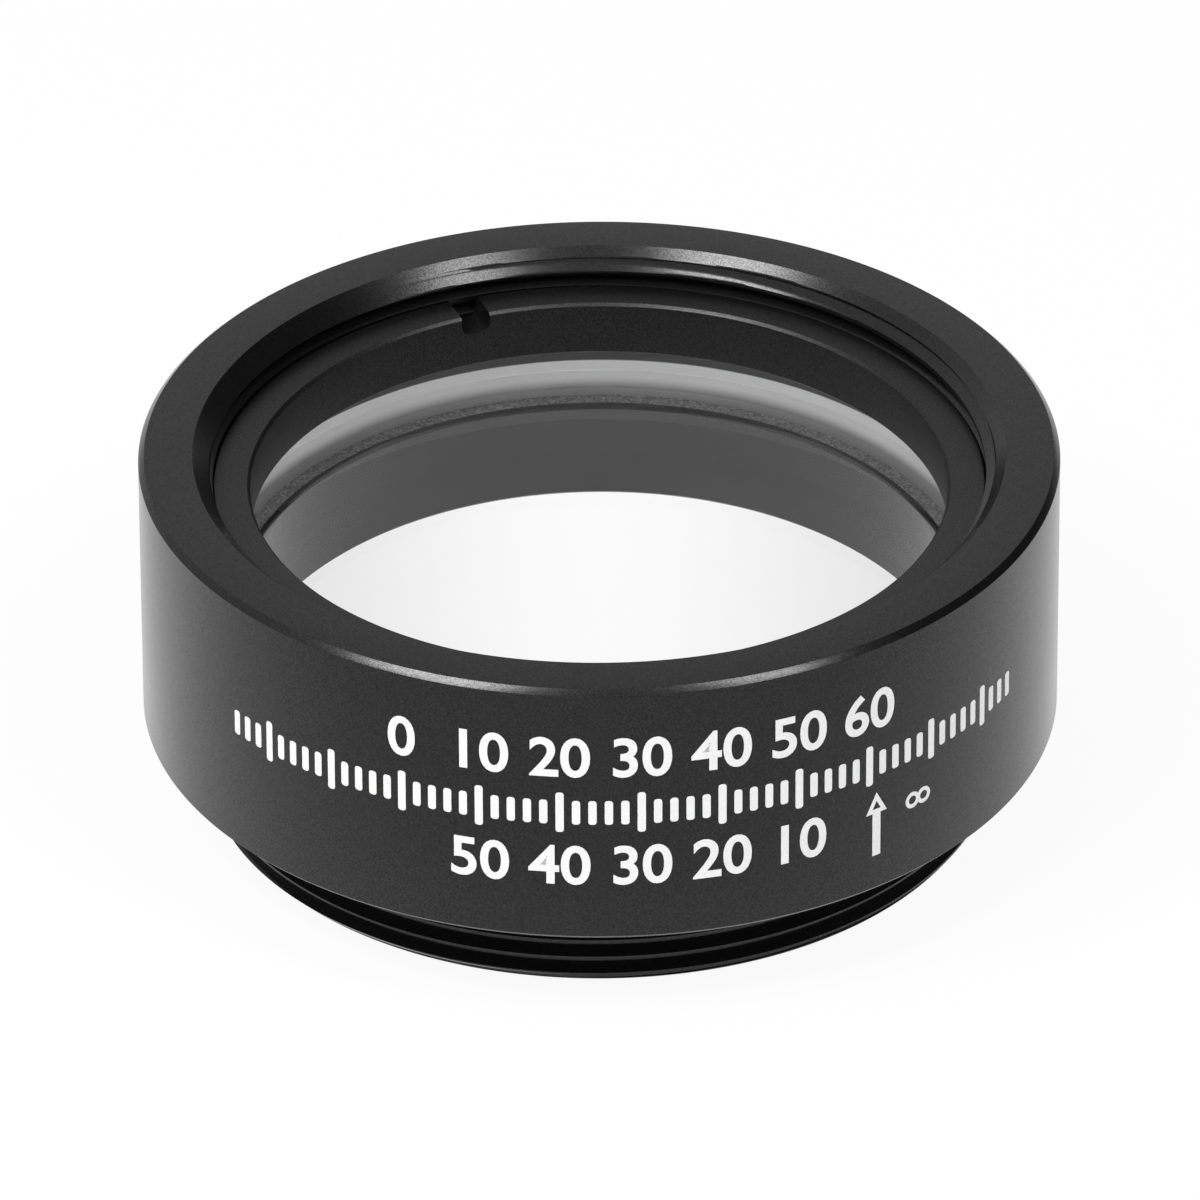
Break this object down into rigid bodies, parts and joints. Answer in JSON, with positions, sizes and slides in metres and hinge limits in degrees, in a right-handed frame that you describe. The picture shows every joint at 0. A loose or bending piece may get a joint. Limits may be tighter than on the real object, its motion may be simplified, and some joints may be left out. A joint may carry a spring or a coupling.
{
  "type": "mounted achromatic doublet lens",
  "caption": "Cemented achromatic doublet in a round black anodised cell with a threaded end, held by a slotted threaded ring.",
  "frame": {"origin": "centre of the threaded end's flat rim, on the optical axis", "axes": "+Z along the optical axis, from the threaded end to the side that faces a distant object; the spanner slots lie 21 degrees from +Y towards -X"},
  "size_m": [0.0304, 0.0304, 0.0126],
  "materials": {
    "anodised_housing": "turned, bead-free, matte black anodised, with white printed marks",
    "anodised_ring": "turned, black anodised",
    "crown_glass": "polished faces, ground edge, low index",
    "flint_glass": "polished faces, ground edge, high index"
  },
  "bodies": {
    "root": {"housing": "anodised_housing", "retaining_ring": "anodised_ring", "crown_element": "crown_glass", "flint_element": "flint_glass"}
  },
  "joints": []
}
